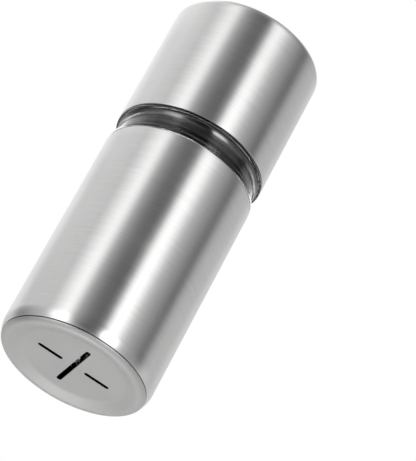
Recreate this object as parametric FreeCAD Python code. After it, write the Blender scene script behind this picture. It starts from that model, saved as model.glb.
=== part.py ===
"""Twist-cap nutmeg mill: a clear jar in a brushed steel sleeve, under a steel cap that drives the grater.

Millimetres, +Z up, origin at the centre of the stand ring that the mill rests on.
Turning the cap turns the square shaft, whose vanes push the nuts over four fixed blades.
"""
import FreeCAD, Part
import math
import os

V = FreeCAD.Vector
UP = V(0, 0, 1)

# ---- driving dimensions -------------------------------------------------------------------------
mill_radius = 25.0        # outside of the sleeve and of the cap
mill_height = 130.1       # stand ring to the top of the cap
steel_wall = 0.6          # drawn sheet of the sleeve and of the cap shell

# clearances
fit_gap = 0.1             # between pieces pressed or glued together
run_gap = 0.4             # between the cap shell's edge and the jar's flange
plug_gap = 0.4            # between the liner's plug and the jar's bore
plate_gap = 0.4           # between the pressure plate and the liner's plug, which it passes through
vane_gap = 1.4            # between the vane tips and the jar's bore
slide_gap = 0.1           # square shaft in a square hole, on each side
bearing_gap = 0.05        # journal in its bush and seal ring in its bore, on the radius
pin_gap = 0.02            # screws, rivets and pins in their holes, on the radius
axial_gap = 0.1           # end play of the shaft in its bush

# sleeve and bottom cap
sleeve_top = 75.3
curl_radius = 7.0         # the sleeve's curl at the bottom, on the outside
curl_height = 5.1         # where the curl begins
seam_height = 1.6         # seam between the sleeve and the bottom cap
seam_gap = 0.25
rim_round = 2.1           # rounded edge of the bottom cap
panel_top = 2.4           # upper face of the bottom cap's panel
panel_recess = 1.5        # panel lifted off the table inside the stand ring
stand_ring_width = 0.9
recess_slope = 3.9        # width of the gentle slope from the ring up to the panel
spigot_wall = 1.2
slot_width = 1.6
long_slot_length = 25.9
side_slot_start = 4.0     # from the axis
side_slot_end = 12.6

# jar
jar_wall = 2.3            # inside the sleeve
neck_wall = 1.6
neck_height = 15.4        # sleeve top to neck rim
neck_round = 0.6
waist_height = 9.3        # clear band left between the sleeve and the cap
waist_inset = 1.6         # waist inside the steel's outside
lip_height = 1.4          # lip on the sleeve's edge, above the sleeve top
waist_start = 3.0         # where the lower cove meets the waist, above the sleeve top
waist_end = 6.1           # where the upper cove leaves the waist, above the sleeve top
flange_inset = 0.1        # lip and flange inside the steel's outside
flange_thickness = 0.5
floor_underside = 8.0
floor_thickness = 2.2
floor_ledge = 4.2         # width of the floor's ring

# outlet funnel
funnel_wall = 1.2
funnel_margin = 0.6       # panel left showing round the ends of the slots

# cutter plate, blades, rivets and screws
cutter_thickness = 1.0
blade_count = 4
blade_thickness = 0.6
blade_start = 7.5         # from the axis
blade_margin = 1.3        # between the blades' ends and the floor's ring
blade_rise = 0.5          # cutting edge above the cutter plate
blade_tail = 3.4          # flat stretch riveted under the plate
blade_reach = 2.4         # tail to cutting edge
blade_bevel = 0.75        # height of the ground bevel under the edge
window_width = 3.4
rivet_radius = 0.6
rivet_head_radius = 1.1
rivet_head_height = 0.35
rivet_inset = 1.5         # from each end of a blade
cutter_screw_count = 3
cutter_screw_inset = 2.2  # screw centres inside the jar's bore
cutter_screw_radius = 0.9
cutter_screw_head_radius = 1.9

# bush, hub, shaft and pivot screw
journal_radius = 3.6
bush_wall = 0.95
bush_drop = 4.3           # bush below the cutter plate
bush_flange_thickness = 0.8
hub_radius = 5.6          # of the hub and of the bush's flange under it
hub_height = 6.9
socket_floor = 2.5        # hub material under the shaft
vane_count = 3
vane_thickness = 2.0
vane_clearance = 0.5      # vanes above the cutting edges
vane_tip_drop = 2.2       # vane top slopes down to its tip
shaft_side = 4.0
shaft_corner = 0.3
shaft_drop = 7.5          # shaft's end below the top of the cap
shaft_end_radius = 2.1
shaft_end_chamfer = 1.0
washer_radius = 5.2
washer_thickness = 0.5
pivot_screw_radius = 1.25
pivot_screw_length = 8.0
pivot_head_radius = 2.4
pivot_head_height = 1.6

# cap shell and liner
cap_corner = 2.9
liner_wall = 1.8
liner_ceiling_thickness = 2.1
seat_thickness = 1.8
plug_wall = 1.6
plug_depth = 10.8         # plug below the neck rim
seal_height = 1.8
seal_depth = 0.9
seal_drop = 3.0           # seal ring below the neck rim
rib_count = 6
rib_thickness = 1.2
rib_depth = 2.1

# drive socket and its screws
socket_length = 14.6
socket_radius = 5.0
socket_bore_spare = 1.5   # free depth above the shaft's end
socket_flange_margin = 2.5  # flange outside its screws' circle
socket_flange_thickness = 1.6
socket_screw_count = 3
socket_screw_circle = 11.0
socket_screw_radius = 1.0
socket_screw_length = 3.2
socket_screw_head_radius = 1.9
socket_screw_head_height = 1.4

# spring, pressure plate and grip pins
spring_radius = 7.0       # centre line of the coil
wire_radius = 0.45
active_turns = 16
points_per_turn = 12
spring_gap = 0.05
collar_height = 3.0       # collar that the end coil is sprung onto
collar_taper = 3.0
plate_thickness = 2.4
plate_edge_round = 0.6
coil_wall_thickness = 1.0
coil_wall_height = 1.5
hub_clearance = 0.4       # pin tips above the hub
pin_radius = 0.6
pin_reach = 1.6           # below the plate
pin_depth = 1.4           # in the plate
inner_pin_count = 6
inner_pin_circle = 10.5
outer_pin_count = 12
outer_pin_inset = 3.1     # outer pins inside the plate's edge

# ---- places worked out from them ----------------------------------------------------------------
sleeve_bore = mill_radius - steel_wall
inside_radius = sleeve_bore - fit_gap         # outside of the jar and of the liner
jar_bore = inside_radius - jar_wall
neck_radius = jar_bore + neck_wall
waist_radius = mill_radius - waist_inset
flange_radius = mill_radius - flange_inset
floor_opening = jar_bore - floor_ledge
blade_end = floor_opening - blade_margin
cutter_screw_circle = jar_bore - cutter_screw_inset
vane_end = jar_bore - vane_gap
plug_radius = jar_bore - plug_gap
plug_bore = plug_radius - plug_wall
plate_radius = plug_bore - plate_gap
outer_pin_circle = plate_radius - outer_pin_inset
cap_edge = sleeve_top + waist_height
neck_rim = sleeve_top + neck_height
curl_centre = mill_radius - curl_radius
floor_top = floor_underside + floor_thickness
cutter_top = floor_top + cutter_thickness
blade_edge = cutter_top + blade_rise
bush_radius = journal_radius + bearing_gap + bush_wall
bush_bottom = floor_top - bush_drop
bush_top = cutter_top + bush_flange_thickness
hub_bottom = bush_top + axial_gap
hub_top = hub_bottom + hub_height
journal_bottom = bush_bottom - axial_gap
shaft_bottom = journal_bottom + socket_floor
washer_bottom = journal_bottom - washer_thickness
liner_top = mill_height - steel_wall - fit_gap
liner_ceiling = liner_top - liner_ceiling_thickness
spring_top = liner_ceiling - socket_flange_thickness
shaft_top = mill_height - shaft_drop
plate_bottom = hub_top + hub_clearance + pin_reach
plate_top = plate_bottom + plate_thickness
coil_bore = spring_radius - wire_radius - spring_gap


# ---- shared shapes ------------------------------------------------------------------------------
def lathe(*outline):
    """Solid turned about the mill's axis from (r, z) points; a pair of points is an arc's middle and end."""
    edges = []
    here = outline[0]
    for step in outline[1:] + (outline[0],):
        if isinstance(step[0], tuple):
            middle, end = step
            edges.append(Part.Arc(V(here[0], 0, here[1]), V(middle[0], 0, middle[1]),
                                  V(end[0], 0, end[1])).toShape())
        else:
            end = step
            edges.append(Part.LineSegment(V(here[0], 0, here[1]), V(end[0], 0, end[1])).toShape())
        here = end
    return Part.Face(Part.Wire(edges)).revolve(V(0, 0, 0), UP, 360)


def rod(radius, bottom, top, x=0.0, y=0.0):
    return Part.makeCylinder(radius, top - bottom, V(x, y, bottom), UP)


def tube(outer, inner, bottom, top):
    return rod(outer, bottom, top).cut(rod(inner, bottom, top))


def turned(shape, degrees):
    copy = shape.copy()
    copy.rotate(V(0, 0, 0), UP, degrees)
    return copy


def around(shape, count, first=0.0):
    """The shape repeated at equal angles about the mill's axis."""
    return [turned(shape, first + 360.0 * index / count) for index in range(count)]


def square_bar(side, corner, bottom, top):
    bar = Part.makeBox(side, side, top - bottom, V(-side / 2, -side / 2, bottom))
    upright = [edge for edge in bar.Edges if abs(edge.Vertexes[0].Z - edge.Vertexes[1].Z) > corner]
    return bar.makeFillet(corner, upright)


def square_hole(bottom, top):
    """Space for the square shaft with its sliding clearance."""
    return square_bar(shaft_side + 2 * slide_gap, shaft_corner, bottom, top)


def curl_point(radius, height):
    """Distance from the axis, at that height, of the curl's arc of that radius."""
    return curl_centre + math.sqrt(radius ** 2 - (curl_height - height) ** 2)


def curl_arc(radius, low, high):
    """Middle and end of the curl's arc of that radius, drawn between two heights."""
    middle = (low + high) / 2
    return (curl_point(radius, middle), middle), (curl_point(radius, high), high)


def cross_recess(radius, depth, face, x=0.0, y=0.0, downward=False):
    """Cutter for the driver cross in a screw head whose face lies at that height."""
    width = radius * 0.32
    bottom = face if downward else face - depth
    arm = Part.makeBox(1.3 * radius, width, depth, V(x - 0.65 * radius, y - width / 2, bottom))
    other = Part.makeBox(width, 1.3 * radius, depth, V(x - width / 2, y - 0.65 * radius, bottom))
    return arm.fuse(other)


# ---- base: sleeve, bottom cap, jar and cutter ---------------------------------------------------
def body_sleeve():
    """Steel tube, curled in at the bottom round the jar."""
    lip = seam_height
    inner = curl_radius - steel_wall
    return lathe((curl_point(curl_radius, lip), lip),
                 curl_arc(curl_radius, lip, curl_height),
                 (mill_radius, sleeve_top),
                 (sleeve_bore, sleeve_top),
                 (sleeve_bore, curl_height),
                 curl_arc(inner, curl_height, lip))


def slot(length, start):
    """Cutter for a slot with round ends along X, starting that far from the axis."""
    half = slot_width / 2
    depth = 2 * panel_top
    middle = Part.makeBox(length - slot_width, slot_width, depth, V(start + half, -half, -half))
    near = Part.makeCylinder(half, depth, V(start + half, 0, -half), UP)
    far = Part.makeCylinder(half, depth, V(start + length - half, 0, -half), UP)
    return middle.fuse([near, far])


def bottom_cap():
    """Narrow stand ring, dished panel with its slots, and the spigot that is pressed into the jar's skirt."""
    spigot_outer = jar_bore - fit_gap
    spigot_inner = spigot_outer - spigot_wall
    flange_top = seam_height - seam_gap
    rim_radius = curl_point(curl_radius, seam_height)
    ring_outer = rim_radius - math.sqrt(rim_round ** 2 - (rim_round - flange_top) ** 2)
    ring_inner = ring_outer - stand_ring_width
    halfway = math.acos(1 - flange_top / rim_round) / 2
    rim_middle = (ring_outer + rim_round * math.sin(halfway), rim_round - rim_round * math.cos(halfway))
    cap = lathe((0, panel_recess),
                (ring_inner - recess_slope, panel_recess),
                (ring_inner, 0),
                (ring_outer, 0),
                (rim_middle, (rim_radius, flange_top)),
                (spigot_outer, flange_top),
                (spigot_outer, floor_underside - fit_gap),
                (spigot_inner, floor_underside - fit_gap),
                (spigot_inner, panel_top),
                (0, panel_top))
    side_slot = slot(side_slot_end - side_slot_start, side_slot_start)
    long_slot = turned(slot(long_slot_length, -long_slot_length / 2), 90)
    return cap.cut([long_slot, side_slot, turned(side_slot, 180)])


def jar():
    """Clear jar: skirt and floor in the sleeve, then lip, waist, flange and neck above it."""
    skirt_bottom = seam_height + fit_gap
    skirt_curl = curl_radius - steel_wall - fit_gap
    lip_top = sleeve_top + lip_height
    waist_bottom = sleeve_top + waist_start
    waist_top = sleeve_top + waist_end
    flange_top = sleeve_top + waist_height - run_gap
    flange_bottom = flange_top - flange_thickness
    cove_radius = waist_radius + 0.29 * (flange_radius - waist_radius)
    lower_cove = (cove_radius, lip_top + 0.29 * (waist_bottom - lip_top))
    upper_cove = (cove_radius, flange_bottom - 0.29 * (flange_bottom - waist_top))
    rim_corner = 0.3 * neck_round
    body = lathe((jar_bore, skirt_bottom),
                 (curl_point(skirt_curl, skirt_bottom), skirt_bottom),
                 curl_arc(skirt_curl, skirt_bottom, curl_height),
                 (inside_radius, sleeve_top + fit_gap),
                 (flange_radius, sleeve_top + fit_gap),
                 (flange_radius, lip_top),
                 (lower_cove, (waist_radius, waist_bottom)),
                 (waist_radius, waist_top),
                 (upper_cove, (flange_radius, flange_bottom)),
                 (flange_radius, flange_top),
                 (neck_radius, flange_top),
                 (neck_radius, neck_rim - neck_round),
                 ((neck_radius - rim_corner, neck_rim - rim_corner), (neck_radius - neck_round, neck_rim)),
                 (jar_bore + neck_round, neck_rim),
                 ((jar_bore + rim_corner, neck_rim - rim_corner), (jar_bore, neck_rim - neck_round)),
                 (jar_bore, floor_top),
                 (floor_opening, floor_top),
                 (floor_opening, floor_underside),
                 (jar_bore, floor_underside))
    hole = rod(cutter_screw_radius + pin_gap, floor_underside, floor_top, cutter_screw_circle)
    return body.cut(around(hole, cutter_screw_count, 90))


def outlet_funnel():
    """Cone inside the bottom cap that leads the powder to the slots."""
    outer = jar_bore - 2 * fit_gap - spigot_wall
    mouth = side_slot_end + funnel_margin
    bottom = panel_top + fit_gap
    top = floor_underside - fit_gap
    return lathe((mouth, bottom),
                 (mouth + funnel_wall, bottom),
                 (outer, top - funnel_wall),
                 (outer, top),
                 (outer - funnel_wall, top))


def blade_rivet_places():
    """(x, y) of the rivets of the blade that lies along +X."""
    y = -window_width / 2 - blade_tail / 2
    return [(blade_start + rivet_inset, y), (blade_end - rivet_inset, y)]


def cutter_plate():
    """Steel disc on the jar's floor, with a window in front of each blade."""
    length = blade_end - blade_start
    corner = V(blade_start, -window_width / 2, floor_top)
    window = Part.makeBox(length, window_width, cutter_thickness, corner)
    holes = [rod(rivet_radius + pin_gap, floor_top, cutter_top, x, y) for x, y in blade_rivet_places()]
    screw_hole = Part.makeCone(cutter_screw_radius + pin_gap, cutter_screw_head_radius + pin_gap,
                               cutter_thickness, V(cutter_screw_circle, 0, floor_top), UP)
    disc = tube(jar_bore - fit_gap, bush_radius + pin_gap, floor_top, cutter_top)
    disc = disc.cut(around(screw_hole, cutter_screw_count, 90))
    return disc.cut([copy for cutter in [window] + holes for copy in around(cutter, blade_count)])


def cutter_blade():
    """Blade along +X: flat tail under the plate, then a ramp through the window to the ground edge."""
    tail = -window_width / 2
    outline = [(tail - blade_tail, floor_top),
               (tail, floor_top),
               (tail + blade_reach, blade_edge),
               (tail + blade_reach - blade_thickness / 2, blade_edge - blade_bevel),
               (tail + blade_thickness / 2, floor_top - blade_thickness),
               (tail - blade_tail, floor_top - blade_thickness)]
    points = [V(blade_start, y, z) for y, z in outline]
    face = Part.Face(Part.makePolygon(points + points[:1]))
    blade = face.extrude(V(blade_end - blade_start, 0, 0))
    holes = [rod(rivet_radius + pin_gap, floor_top - blade_thickness, floor_top, x, y)
             for x, y in blade_rivet_places()]
    return blade.cut(holes)


def rivet(x, y):
    underside = floor_top - blade_thickness
    shank = rod(rivet_radius, underside, cutter_top, x, y)
    upper = rod(rivet_head_radius, cutter_top, cutter_top + rivet_head_height, x, y)
    lower = rod(rivet_head_radius, underside - rivet_head_height, underside, x, y)
    return shank.fuse([upper, lower]).removeSplitter()


def blade_rivets():
    pair = [rivet(x, y) for x, y in blade_rivet_places()]
    return Part.makeCompound([copy for piece in pair for copy in around(piece, blade_count)])


def cutter_screws():
    """Countersunk screws that hold the cutter plate to the jar's floor."""
    head = Part.makeCone(cutter_screw_radius, cutter_screw_head_radius, cutter_thickness,
                         V(cutter_screw_circle, 0, floor_top), UP)
    shank = rod(cutter_screw_radius, floor_underside + fit_gap, floor_top, cutter_screw_circle)
    recess = cross_recess(cutter_screw_head_radius, cutter_thickness / 2, cutter_top, cutter_screw_circle)
    return Part.makeCompound(around(head.fuse(shank).cut(recess), cutter_screw_count, 90))


def bearing_bush():
    bore = journal_radius + bearing_gap
    return lathe((bore, bush_bottom),
                 (bush_radius, bush_bottom),
                 (bush_radius, cutter_top),
                 (hub_radius, cutter_top),
                 (hub_radius, bush_top),
                 (bore, bush_top))


# ---- rotor: shaft, hub, pivot screw and washer --------------------------------------------------
def drive_shaft():
    """Clear square bar with a turned tip, tapped at the bottom for the pivot screw."""
    bar = square_bar(shaft_side, shaft_corner, shaft_bottom, shaft_top)
    tip_start = shaft_top - shaft_end_chamfer
    tip = lathe((0, shaft_bottom),
                (shaft_side, shaft_bottom),
                (shaft_side, tip_start),
                (shaft_end_radius + shaft_end_chamfer, tip_start),
                (shaft_end_radius, shaft_top),
                (0, shaft_top))
    tapped = rod(pivot_screw_radius + pin_gap, shaft_bottom, washer_bottom + pivot_screw_length + axial_gap)
    return bar.common(tip).cut(tapped)


def driver_hub():
    """Hub on the shaft's lower end, with the journal below and three vanes that push the nuts."""
    body = lathe((0, journal_bottom),
                 (journal_radius, journal_bottom),
                 (journal_radius, hub_bottom),
                 (hub_radius, hub_bottom),
                 (hub_radius, hub_top),
                 (0, hub_top))
    vane_bottom = blade_edge + vane_clearance
    outline = [V(0, -vane_thickness / 2, vane_bottom),
               V(vane_end, -vane_thickness / 2, vane_bottom),
               V(vane_end, -vane_thickness / 2, hub_top - vane_tip_drop),
               V(hub_radius, -vane_thickness / 2, hub_top),
               V(0, -vane_thickness / 2, hub_top)]
    vane = Part.Face(Part.makePolygon(outline + outline[:1])).extrude(V(0, vane_thickness, 0))
    hub = body.fuse(around(vane, vane_count, 60)).removeSplitter()
    screw_hole = rod(pivot_screw_radius + pin_gap, journal_bottom, shaft_bottom)
    return hub.cut([square_bar(shaft_side + 2 * pin_gap, shaft_corner, shaft_bottom, hub_top), screw_hole])


def thrust_washer():
    return tube(washer_radius, pivot_screw_radius + pin_gap, washer_bottom, journal_bottom)


def pivot_screw():
    """Screw from below that holds the washer, hub and shaft together."""
    face = washer_bottom - pivot_head_height
    head = rod(pivot_head_radius, face, washer_bottom)
    shank = rod(pivot_screw_radius, washer_bottom, washer_bottom + pivot_screw_length)
    recess = cross_recess(pivot_head_radius, pivot_head_height / 2, face, downward=True)
    return head.fuse(shank).cut(recess)


# ---- cap: shell, liner, drive socket and spring -------------------------------------------------
def cup(radius, wall, corner, bottom, top):
    """Upturned cup with a rounded top edge: an outer skin of that wall, open at the bottom."""
    inner_corner = corner - wall
    diagonal = math.sqrt(0.5)
    outer_mid = (radius - corner + corner * diagonal, top - corner + corner * diagonal)
    inner_mid = (radius - corner + inner_corner * diagonal, top - corner + inner_corner * diagonal)
    return lathe((radius, bottom),
                 (radius, top - corner),
                 (outer_mid, (radius - corner, top)),
                 (0, top),
                 (0, top - wall),
                 (radius - corner, top - wall),
                 (inner_mid, (radius - wall, top - corner)),
                 (radius - wall, bottom))


def cap_shell():
    return cup(mill_radius, steel_wall, cap_corner, cap_edge, mill_height)


def cap_liner():
    """Moulded liner: plug in the jar's neck, seat over its rim, ribbed wall and ceiling."""
    seat_bottom = neck_rim + fit_gap
    seat_top = seat_bottom + seat_thickness
    plug_bottom = neck_rim - plug_depth
    groove_top = neck_rim - seal_drop
    groove_bottom = groove_top - seal_height
    wall_inner = inside_radius - liner_wall
    corner = cap_corner - steel_wall - fit_gap
    diagonal = math.sqrt(0.5)
    corner_middle = (inside_radius - corner + corner * diagonal, liner_top - corner + corner * diagonal)
    body = lathe((plug_bore, plug_bottom),
                 (plug_radius, plug_bottom),
                 (plug_radius, groove_bottom),
                 (plug_radius - seal_depth, groove_bottom),
                 (plug_radius - seal_depth, groove_top),
                 (plug_radius, groove_top),
                 (plug_radius, seat_bottom),
                 (inside_radius, seat_bottom),
                 (inside_radius, liner_top - corner),
                 (corner_middle, (inside_radius - corner, liner_top)),
                 (0, liner_top),
                 (0, liner_ceiling),
                 (wall_inner, liner_ceiling),
                 (wall_inner, seat_top),
                 (plug_bore, seat_top))
    rib = Part.makeBox(rib_depth + liner_wall / 2, rib_thickness, liner_ceiling - seat_top,
                       V(wall_inner - rib_depth, -rib_thickness / 2, seat_top))
    liner = body.fuse(around(rib, rib_count)).removeSplitter()
    screw_hole = rod(socket_screw_radius + pin_gap, liner_ceiling, spring_top + socket_screw_length,
                     socket_screw_circle)
    return liner.cut(around(screw_hole, socket_screw_count, 90))


def cap_seal_ring():
    """Soft ring in the plug's groove, with a lip against the jar's bore."""
    top = neck_rim - seal_drop
    bottom = top - seal_height
    lip = jar_bore - bearing_gap
    return lathe((plug_radius - seal_depth, bottom),
                 (plug_radius, bottom),
                 ((lip, (bottom + top) / 2), (plug_radius, top)),
                 (plug_radius - seal_depth, top))


def drive_socket():
    """Flanged socket under the liner's ceiling, with the square hole that the shaft drives in."""
    bottom = spring_top - socket_length
    collar_bottom = spring_top - collar_height
    flange = socket_screw_circle + socket_flange_margin
    body = lathe((0, bottom),
                 (socket_radius, bottom),
                 (socket_radius, collar_bottom - collar_taper),
                 (coil_bore, collar_bottom),
                 (coil_bore, spring_top),
                 (flange, spring_top),
                 (flange, liner_ceiling),
                 (0, liner_ceiling))
    hole = square_hole(bottom, shaft_top + socket_bore_spare)
    screw_hole = rod(socket_screw_radius + pin_gap, spring_top, liner_ceiling, socket_screw_circle)
    return body.cut([hole] + around(screw_hole, socket_screw_count, 90))


def socket_screws():
    """Pan head screws that hold the drive socket to the liner's ceiling."""
    face = spring_top - socket_screw_head_height
    head = rod(socket_screw_head_radius, face, spring_top, socket_screw_circle)
    shank = rod(socket_screw_radius, spring_top, spring_top + socket_screw_length, socket_screw_circle)
    recess = cross_recess(socket_screw_head_radius, socket_screw_head_height / 2, face, socket_screw_circle,
                          downward=True)
    return Part.makeCompound(around(head.fuse(shank).cut(recess), socket_screw_count, 90))


def pressure_spring():
    """Round wire coil from the plate's collar to the drive socket, with one dead coil at each end."""
    low = plate_top + spring_gap + wire_radius
    high = spring_top - spring_gap - wire_radius
    dead_rise = 2 * wire_radius + spring_gap
    active_rise = high - low - 2 * dead_rise
    points = []
    for index in range((active_turns + 2) * points_per_turn + 1):
        turn = index / points_per_turn
        dead = min(turn, 1.0) + max(turn - 1.0 - active_turns, 0.0)
        active = min(max(turn - 1.0, 0.0), active_turns)
        height = low + dead * dead_rise + active * active_rise / active_turns
        angle = 2 * math.pi * turn
        points.append(V(spring_radius * math.cos(angle), spring_radius * math.sin(angle), height))
    line = Part.BSplineCurve()
    line.interpolate(points)
    path = Part.Wire(line.toShape())
    section = Part.Wire(Part.makeCircle(wire_radius, points[0], line.tangent(line.FirstParameter)[0]))
    return path.makePipeShell([section], True, True)


# ---- plate: sprung pressure plate and its pins --------------------------------------------------
def pin_places():
    """(x, y) of every grip pin, on two circles."""
    places = []
    for count, circle in ((inner_pin_count, inner_pin_circle), (outer_pin_count, outer_pin_circle)):
        for index in range(count):
            angle = 2 * math.pi * (index + 0.5) / count
            places.append((circle * math.cos(angle), circle * math.sin(angle)))
    return places


def pressure_plate():
    """Disc that slides on the shaft, with a collar and a low wall for the spring's end coil."""
    collar_top = plate_top + collar_height
    wall_inner = spring_radius + wire_radius + spring_gap
    wall_outer = wall_inner + coil_wall_thickness
    body = lathe((0, plate_bottom),
                 (plate_radius - plate_edge_round, plate_bottom),
                 (plate_radius, plate_bottom + plate_edge_round),
                 (plate_radius, plate_top - plate_edge_round),
                 (plate_radius - plate_edge_round, plate_top),
                 (wall_outer, plate_top),
                 (wall_outer, plate_top + coil_wall_height),
                 (wall_inner, plate_top + coil_wall_height),
                 (wall_inner, plate_top),
                 (coil_bore, plate_top),
                 (coil_bore, collar_top),
                 (socket_radius, collar_top + collar_taper),
                 (0, collar_top + collar_taper))
    holes = [rod(pin_radius + pin_gap, plate_bottom, plate_bottom + pin_depth, x, y) for x, y in pin_places()]
    return body.cut([square_hole(plate_bottom, collar_top + collar_taper)] + holes)


def grip_pins():
    """Pointed steel pins that keep the nuts from slipping under the plate."""
    pins = []
    for x, y in pin_places():
        straight = rod(pin_radius, plate_bottom - pin_reach / 2, plate_bottom + pin_depth, x, y)
        tip = V(x, y, plate_bottom - pin_reach)
        point = Part.makeCone(pin_radius / 4, pin_radius, pin_reach / 2, tip, UP)
        pins.append(straight.fuse(point))
    return Part.makeCompound(pins)


# ---- export -------------------------------------------------------------------------------------
nodes = {
    "body_sleeve": body_sleeve(),
    "bottom_cap": bottom_cap(),
    "jar": jar(),
    "outlet_funnel": outlet_funnel(),
    "cutter_plate": cutter_plate(),
    "blade_rivets": blade_rivets(),
    "cutter_screws": cutter_screws(),
    "bearing_bush": bearing_bush(),
    "drive_shaft": drive_shaft(),
    "driver_hub": driver_hub(),
    "thrust_washer": thrust_washer(),
    "pivot_screw": pivot_screw(),
    "cap_shell": cap_shell(),
    "cap_liner": cap_liner(),
    "cap_seal_ring": cap_seal_ring(),
    "drive_socket": drive_socket(),
    "socket_screws": socket_screws(),
    "pressure_spring": pressure_spring(),
    "pressure_plate": pressure_plate(),
    "grip_pins": grip_pins(),
}
for number, blade in enumerate(around(cutter_blade(), blade_count), start=1):
    nodes["cutter_blade_%d" % number] = blade

os.makedirs("parts", exist_ok=True)
for name, shape in nodes.items():
    shape.exportStep("parts/" + name + ".step")
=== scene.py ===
import math

import bmesh
import bpy
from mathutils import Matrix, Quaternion, Vector


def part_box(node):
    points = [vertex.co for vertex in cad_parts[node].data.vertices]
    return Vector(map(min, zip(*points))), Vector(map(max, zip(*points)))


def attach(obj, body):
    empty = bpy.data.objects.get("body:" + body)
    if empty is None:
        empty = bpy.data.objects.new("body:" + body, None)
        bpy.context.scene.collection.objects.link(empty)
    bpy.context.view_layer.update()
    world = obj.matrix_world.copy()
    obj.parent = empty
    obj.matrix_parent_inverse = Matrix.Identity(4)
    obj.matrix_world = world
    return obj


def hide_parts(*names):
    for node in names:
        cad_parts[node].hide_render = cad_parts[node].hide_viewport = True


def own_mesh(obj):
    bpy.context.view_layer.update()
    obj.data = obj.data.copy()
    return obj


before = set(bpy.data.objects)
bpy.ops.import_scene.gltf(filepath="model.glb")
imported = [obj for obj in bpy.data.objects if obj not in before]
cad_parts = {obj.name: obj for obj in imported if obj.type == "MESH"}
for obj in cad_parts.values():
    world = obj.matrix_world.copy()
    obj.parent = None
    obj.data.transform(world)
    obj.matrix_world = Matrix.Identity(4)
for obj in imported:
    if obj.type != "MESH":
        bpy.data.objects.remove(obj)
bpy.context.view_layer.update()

mm = 0.001


# ---- The camera ---------------------------------------------------------------------------------
# A long lens below the table's height looks up at the slotted bottom, with the mill leaning over.
# The camera is rolled, because the mill itself stands upright at the origin.
def placed(name, data):
    """A new object in the scene, with that data."""
    made = bpy.data.objects.new(name, data)
    bpy.context.scene.collection.objects.link(made)
    return made


camera_place = Vector((-0.12870, -0.74978, -0.37157))
camera_aim = Vector((0.01586, -0.00307, 0.06447))
camera_roll = math.radians(28.34)
level_view = (camera_aim - camera_place).to_track_quat("-Z", "Y")
camera = placed("camera", bpy.data.cameras.new("camera"))
camera.data.lens = 221.4
camera.location = camera_place
camera.rotation_mode = "QUATERNION"
camera.rotation_quaternion = level_view @ Quaternion((0, 0, 1), camera_roll)
bpy.context.scene.camera = camera
bpy.context.scene.view_settings.view_transform = "Standard"


# ---- The studio ---------------------------------------------------------------------------------
# A light tent round the mill: tall white panels with grey gaps between them, which brushed steel
# shows as upright bands. What lies behind the mill is plain white, also through the clear jar.
def node(tree, kind, inputs=None, **settings):
    """A node of that kind, with its settings, and values or links for its sockets."""
    made = tree.nodes.new(kind)
    for name, value in settings.items():
        setattr(made, name, value)
    for name, value in (inputs or {}).items():
        if isinstance(value, bpy.types.NodeSocket):
            tree.links.new(value, made.inputs[name])
        else:
            made.inputs[name].default_value = value
    return made


def maths(tree, operation, *values):
    """The result of one Math node."""
    return node(tree, "ShaderNodeMath", dict(enumerate(values)), operation=operation).outputs[0]


def soft_share(tree, value, start, end):
    """How far the value has come from start to end, from 0 to 1 with soft ends."""
    share = node(tree, "ShaderNodeMapRange", {0: value, 1: start, 2: end}, interpolation_type="SMOOTHSTEP")
    return share.outputs[0]


def blended(tree, share, first, second, blend="MIX"):
    """The second colour over the first, by the share."""
    mix = node(tree, "ShaderNodeMix", {0: share, 6: first, 7: second}, data_type="RGBA", blend_type=blend)
    return mix.outputs[2]


tent_centre = math.degrees(math.atan2(camera_place.x, -camera_place.y))
tent_strength = 3.2
# turn from the camera round the mill in degrees, and how bright the tent is there: its walls, the
# strips below them, how high the walls' feet stand, and two lit windows at the camera's side
wall_panels = [(-180, 1.38), (-160, 1.56), (-150, 1.56), (-118, 1.60), (-84, 0.84), (-74, 0.57),
               (-58, 0.82), (-44, 1.24), (-28, 0.36), (-10, 0.16), (4, 0.09), (11, 0.07), (18, 0.86),
               (26, 1.08), (38, 0.74), (46, 0.60), (62, 0.40), (80, 0.12), (88, 0.08), (98, 0.34),
               (130, 0.60), (150, 0.92), (180, 0.92)]
low_strips = [(-180, 0.45), (-150, 0.34), (-110, 0.28), (-84, 0.50), (-68, 0.60), (-58, 1.10), (-40, 1.10),
              (-26, 0.20), (-12, 0.04), (4, 0.02), (12, 0.40), (18, 1.10), (30, 1.10), (42, 0.56),
              (60, 0.34), (84, 0.40), (92, 0.66), (102, 0.72), (120, 0.60), (150, 0.50), (180, 0.45)]
wall_feet = [(-180, 0.1), (-158, 0.5), (-92, 0.5), (-66, 0.0), (78, 0.0), (88, 0.5), (158, 0.5),
             (180, 0.1)]
windows = [(-180, 0.0), (-70, 0.0), (-58, 0.9), (-50, 1.5), (-42, 1.5), (-31, 0.0), (9, 0.0), (16, 3.2),
           (30, 2.8), (43, 0.0), (180, 0.0)]
roof_tone = 0.36
ground_tone = 0.72
pool_tone = 1.7
# where each part of the tent passes into the next, by the sine of the elevation
roof_starts = (0.80, 0.99)
feet_end = (0.20, -0.25)
far_feet_end = (0.25, -0.35)
ground_starts = (-0.58, -0.80)
window_sill = (-0.50, -0.36)
window_head = (0.40, -0.05)
# and by the nearness, which is 1 towards the camera and -1 away from it
far_starts = (-0.42, -0.72)
backdrop_starts = (0.10, -0.25)
# a bright pool on the ground, in a direction away from the camera and down, which starts by the
# cosine of the angle to that direction
pool_away = -0.34
pool_down = -0.94
pool_starts = (0.94, 0.998)

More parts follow.
